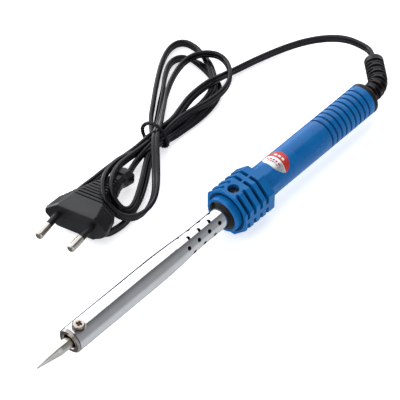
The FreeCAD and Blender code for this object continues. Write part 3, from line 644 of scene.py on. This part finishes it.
def make_plug(material):
    turn = Matrix.Rotation(PLUG_YAW, 3, "Z") @ Matrix.Rotation(-PLUG_PITCH, 3, "Y")
    stations = PLUG_FACE_X + [-1.2 - PLUG_STEP * i for i in range(162)] + PLUG_TAIL_X
    rings = [[PLUG_AT + turn @ (point * MM) for point in plug_ring(x)] for x in stations]
    plug = grid_mesh("plug_shell", rings, material, smooth_angle=32)
    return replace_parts(plug, "plug_body")


NECK_HALF_FLATS = 8.3 * MM
HANDLE_R = 8.6 * MM
HANDLE_BORE_R = 6.6
SPIGOT_R = 7.9
SPIGOT_BORE_R = 5.0
SPIGOT_BORE_END = 44 * MM
NECK_CORNER_R = 8.84 * MM
GRIP_GROOVES = 9
GRIP_FIRST_X = 82.3 * MM
GRIP_PITCH = 3.65 * MM
# Half of a grip groove: (distance from its middle, depth).
GROOVE_SHAPE = [(0.85, 0.0), (0.68, 0.06), (0.56, 0.3), (0.45, 0.75), (0.25, 0.95)]


def neck_radius(x, turn):
    """Octagonal neck that runs out smoothly into the round handle."""
    flat_turn = (turn + math.pi / 8) % (math.pi / 4) - math.pi / 8
    octagon = min(NECK_HALF_FLATS / math.cos(flat_turn), NECK_CORNER_R)
    return octagon + (HANDLE_R - octagon) * smoothstep(38.6 * MM, 43.2 * MM, x)


def make_handle(material):
    """Handle with a spigot into the guard, an octagonal neck, grip grooves and a stepped bore; radii in mm."""
    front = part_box("handle_shell")[0].x
    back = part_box("handle_shell")[1].x - 0.3 * MM
    guard_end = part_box("finger_guard")[1].x
    profile = [(front, SPIGOT_BORE_R), (front, SPIGOT_R - 0.2), (front + 0.2 * MM, SPIGOT_R),
               (guard_end, SPIGOT_R)]
    profile += [(guard_end + 0.01 * MM + 0.7 * MM * i, None) for i in range(16)]
    profile += [(60 * MM, None), (75 * MM, None)]
    for k in range(GRIP_GROOVES):
        middle = GRIP_FIRST_X + GRIP_PITCH * k
        for side in (-1, 1):
            for off, depth in GROOVE_SHAPE[::-side]:
                profile.append((middle + side * off * MM, 8.6 - depth))
    profile += [(back - 0.35 * MM, 8.6), (back - 0.1 * MM, 8.5), (back, 8.25), (back, HANDLE_BORE_R),
                (SPIGOT_BORE_END, HANDLE_BORE_R), (SPIGOT_BORE_END, SPIGOT_BORE_R)]
    rings = []
    for x, radius in profile:
        rings.append([axis_point(x, turn, neck_radius(x, turn) if radius is None else radius * MM)
                      for turn in turns_of(96)])
    handle = grid_mesh("handle_grip", rings, material, closed=True, smooth_angle=28)
    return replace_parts(handle, "handle_shell")


# The end cap's outline, x and radius in millimetres: its spigot, its rounded flange and its bore.
CAP_PROFILE = [(107, 6.55), (116, 6.55), (116, 8.45), (116.2, 8.62), (118.15, 8.64), (118.45, 8.5),
               (118.6, 8.2), (118.6, 3.45), (107, 3.45)]


def make_cap(material):
    rings = [[axis_point(x * MM, turn, radius * MM) for turn in turns_of(72)] for x, radius in CAP_PROFILE]
    cap = grid_mesh("cap", rings, material, closed=True, smooth_angle=50)
    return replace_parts(cap, "end_cap")


def soften(name, width):
    """Rounds a CAD node's edges with modifiers; its own mesh is left as it is."""
    obj = NODES[name]
    weld = obj.modifiers.new("weld", "WELD")
    weld.merge_threshold = 1e-6
    flat = obj.modifiers.new("flat", "DECIMATE")
    flat.decimate_type = "DISSOLVE"
    flat.angle_limit = math.radians(0.4)
    bevel = obj.modifiers.new("bevel", "BEVEL")
    bevel.width = width
    bevel.segments = 2
    bevel.limit_method = "ANGLE"
    bevel.angle_limit = math.radians(30)
    bevel.miter_outer = "MITER_ARC"
    shade = obj.modifiers.new("shade", "WEIGHTED_NORMAL")
    shade.weight = 90


# ---------------------------------------------------------------- materials
# The guard gets painted shade in its slots, its screw hole and its front groove, through shade.
BLUE = moulded("guard blue", rgb(0.0, 0.125, 0.375), rgb(0.0, 0.143, 0.415), (0.28, 0.36), 0.0006, 6e-6,
               specular=0.28, shade=(11.5 * MM, 9.3 * MM, 11.9 * MM, 0.18))
# The handle gets painted shade in its grip grooves, through shade.
HANDLE = moulded("handle blue", rgb(0.0, 0.120, 0.375), rgb(0.0, 0.137, 0.41), (0.26, 0.34), 0.0007, 5e-6,
                 specular=0.3, shade=(80 * MM, 7.9 * MM, 8.5 * MM, 0.45))
CORD = moulded("cord black", rgb(0.004, 0.003, 0.005), rgb(0.009, 0.007, 0.010), (0.15, 0.26), 0.0005, 5e-6,
               specular=0.28)
RUBBER = moulded("boot rubber", rgb(0.006, 0.004, 0.005), rgb(0.011, 0.009, 0.010), (0.24, 0.36), 0.0005,
                 6e-6, specular=0.25)
PLUG = moulded("plug black", rgb(0.006, 0.006, 0.007), rgb(0.012, 0.012, 0.014), (0.24, 0.34), 0.0006, 5e-6,
               specular=0.45)
SLEEVE = moulded("pin sleeve", rgb(0.007, 0.007, 0.008), rgb(0.012, 0.012, 0.013), (0.3, 0.4), 0.0006, 4e-6,
                 specular=0.25)
CAP = moulded("cap black", rgb(0.007, 0.006, 0.006), rgb(0.012, 0.011, 0.011), (0.3, 0.4), 0.0006, 5e-6,
              specular=0.25)
TIE = moulded("tie black", rgb(0.004, 0.004, 0.004), rgb(0.008, 0.008, 0.008), (0.32, 0.45), 0.0006, 5e-6,
              specular=0.2)
BUSH = moulded("phenolic bush", rgb(0.006, 0.005, 0.005), rgb(0.016, 0.011, 0.009), (0.2, 0.32), 0.0005, 8e-6,
               patch=0.004, specular=0.16)
STEEL = barrel_steel()
PLATED = metal("tip plating", rgb(0.62, 0.60, 0.55), rgb(0.80, 0.79, 0.75), (0.05, 0.14))
NOSE = nose_steel()
SCREW = screw_steel()
WASHER = metal("washer steel", rgb(0.26, 0.23, 0.20), rgb(0.40, 0.36, 0.32), (0.2, 0.32), NO_DIRECTION, 0.0008)
NICKEL = metal("pin nickel", rgb(0.56, 0.50, 0.43), rgb(0.68, 0.63, 0.57), (0.14, 0.24))
OXIDE = metal("oxidised steel", rgb(0.32, 0.30, 0.28), rgb(0.50, 0.46, 0.42), (0.35, 0.55))
WIRE = metal("resistance wire", rgb(0.26, 0.24, 0.22), rgb(0.42, 0.39, 0.36), (0.3, 0.45))
BRASS = metal("terminal brass", rgb(0.60, 0.42, 0.18), rgb(0.74, 0.56, 0.26), (0.2, 0.36))
MICA = moulded("mica sheet", rgb(0.42, 0.34, 0.20), rgb(0.60, 0.52, 0.36), (0.35, 0.55), 0.0008, 1e-5)
# The outer mica wrap is painted near-black blue: painted shade inside the barrel, seen through the vents.
DARK_MICA = moulded("mica painted with shade", rgb(0.012, 0.014, 0.022), rgb(0.03, 0.032, 0.042), (0.4, 0.6), 0.0008,
                    1e-5)
CERAMIC = moulded("ceramic", rgb(0.16, 0.14, 0.11), rgb(0.26, 0.23, 0.19), (0.6, 0.75), 0.0004, 8e-6)
# The glass braid is painted dark grey instead of its own pale colour: painted shade inside the barrel, seen
# through the vents.
BRAID = moulded("glass braid", rgb(0.06, 0.058, 0.055), rgb(0.12, 0.115, 0.10), (0.7, 0.85), 0.0003, 2e-5)
BLOCK = moulded("terminal plastic", rgb(0.72, 0.69, 0.60), rgb(0.80, 0.78, 0.72), (0.4, 0.5), 0.0006, 5e-6)
CORE = moulded("core insulation", rgb(0.14, 0.045, 0.015), rgb(0.20, 0.07, 0.025), (0.3, 0.42), 0.0006, 4e-6)

paint(PLATED, "tip_bit")
paint(NOSE, "nose_ring")
paint(STEEL, "barrel_tube")
paint(SCREW, "tip_screw")
paint(WASHER, "screw_washer", "clamp_screws", "guard_screw")
paint(OXIDE, "heater_sleeve")
paint(MICA, "mica_inner_wrap")
paint(DARK_MICA, "mica_outer_wrap")
paint(WIRE, "heating_coil", "heater_leads")
paint(CERAMIC, "heater_front_spacer", "heater_rear_spacer")
paint(BRAID, "lead_insulators")
paint(BUSH, "insulating_bush")
paint(BLUE, "finger_guard")
paint(HANDLE, "handle_shell")
paint(label_foil(), "rating_label")
paint(BLOCK, "terminal_block")
paint(BRASS, "terminal_screws")
paint(CORE, "cord_cores")
paint(CAP, "cord_clamp", "end_cap")
paint(CORD, "cord_inner_run")
paint(RUBBER, "strain_relief_boot")
paint(TIE, "cord_tie")
paint(PLUG, "plug_body")
paint(NICKEL, "plug_pin_left", "plug_pin_right")
paint(SLEEVE, "pin_sleeve_left", "pin_sleeve_right")

# ---------------------------------------------------------------- pieces
make_boot(RUBBER)
make_handle(HANDLE)
tie = make_tie(TIE)
plug = make_plug(PLUG)
soften("finger_guard", 0.25 * MM)
soften("insulating_bush", 0.15 * MM)
make_cap(CAP)
soften("tip_screw", 0.1 * MM)
cord, cord_line = make_cord(CORD)

# ---------------------------------------------------------------- studio
FLOOR_HALF = 3.0
LIGHT_TILT = math.radians(5)
FAR_LIGHT = 1.55
STRIP_LIGHT = 3.0
CAM_AZIMUTH = math.radians(-48.673)
CAM_ELEVATION = math.radians(45.503)
CAM_DISTANCE = 1.011
CAM_AIM = Vector((0.008844, 0.014789, 0.0123))


def make_floor():
    """Pale floor, hidden from glossy rays so that the steel reflects the sky's own dark and light."""
    corners = [(x * FLOOR_HALF, y * FLOOR_HALF, 0) for x, y in ((-1, -1), (1, -1), (1, 1), (-1, 1))]
    mesh = bpy.data.meshes.new("floor")
    mesh.from_pydata(corners, [], [(0, 1, 2, 3)])
    floor = bpy.data.objects.new("floor", mesh)
    bpy.context.scene.collection.objects.link(floor)
    floor.visible_glossy = False
    graph = Graph("floor")
    graph.set(Base_Color=rgb(0.88, 0.89, 0.91), Roughness=0.9, Emission_Color=rgb(1.0, 1.0, 1.0),
              Emission_Strength=0.6)
    mesh.materials.append(graph.material)


class Sky(Graph):
    """The world's node tree, with the same arithmetic as a material's."""

    def __init__(self, name):
        world = bpy.data.worlds.new(name)
        world.use_nodes = True
        bpy.context.scene.world = world
        self.tree = world.node_tree
        self.here = self.add("ShaderNodeTexCoord").outputs["Generated"]


def make_sky():
    """Bright on the far side with a strip light, grey on the near side, and dimmer below the horizon."""
    sky = Sky("studio")
    x, y, z = sky.axes()
    across = sky.math("ADD", sky.math("MULTIPLY", y, -math.cos(LIGHT_TILT)),
                      sky.math("MULTIPLY", z, -math.sin(LIGHT_TILT)))
    near = sky.ramp(across, 0.0, 0.05)
    front = sky.math("MULTIPLY", sky.ramp(x, 0.42, 0.15, 0.0, 0.42), sky.ramp(across, 0.12, 0.5))
    grey = sky.math("ADD", sky.ramp(across, 0.0, 0.85, 0.12, 0.34), front)
    far_light = sky.math("MULTIPLY", sky.math("SUBTRACT", 1.0, near), FAR_LIGHT)
    strip = sky.math("MULTIPLY", sky.ramp(across, -0.97, -0.94), sky.ramp(across, -0.88, -0.85, 1.0, 0.0))
    above = sky.math("ADD", sky.math("ADD", far_light, sky.math("MULTIPLY", near, grey)),
                     sky.math("MULTIPLY", strip, STRIP_LIGHT))
    below = sky.ramp(z, 0.12, -0.42)
    strength = sky.math("ADD", sky.math("MULTIPLY", sky.math("SUBTRACT", 1.0, below), above),
                        sky.math("MULTIPLY", below, sky.ramp(across, -0.3, 0.3, 0.16, 0.64)))
    background = sky.tree.nodes["Background"]
    sky.put(background.inputs["Strength"], strength)
    sky.put(background.inputs["Color"], rgb(0.945, 0.965, 1.0))


def make_camera():
    camera = bpy.data.objects.new("camera", bpy.data.cameras.new("camera"))
    bpy.context.scene.collection.objects.link(camera)
    level = math.cos(CAM_ELEVATION)
    back = Vector((math.sin(CAM_AZIMUTH) * level, -math.cos(CAM_AZIMUTH) * level, math.sin(CAM_ELEVATION)))
    camera.location = CAM_AIM + back * CAM_DISTANCE
    camera.rotation_mode = "QUATERNION"
    camera.rotation_quaternion = (-back).to_track_quat("-Z", "Y")
    camera.data.sensor_width = 36.0
    camera.data.lens = 188.7
    bpy.context.scene.camera = camera


make_floor()
make_sky()
make_camera()
bpy.context.scene.view_settings.view_transform = "Standard"
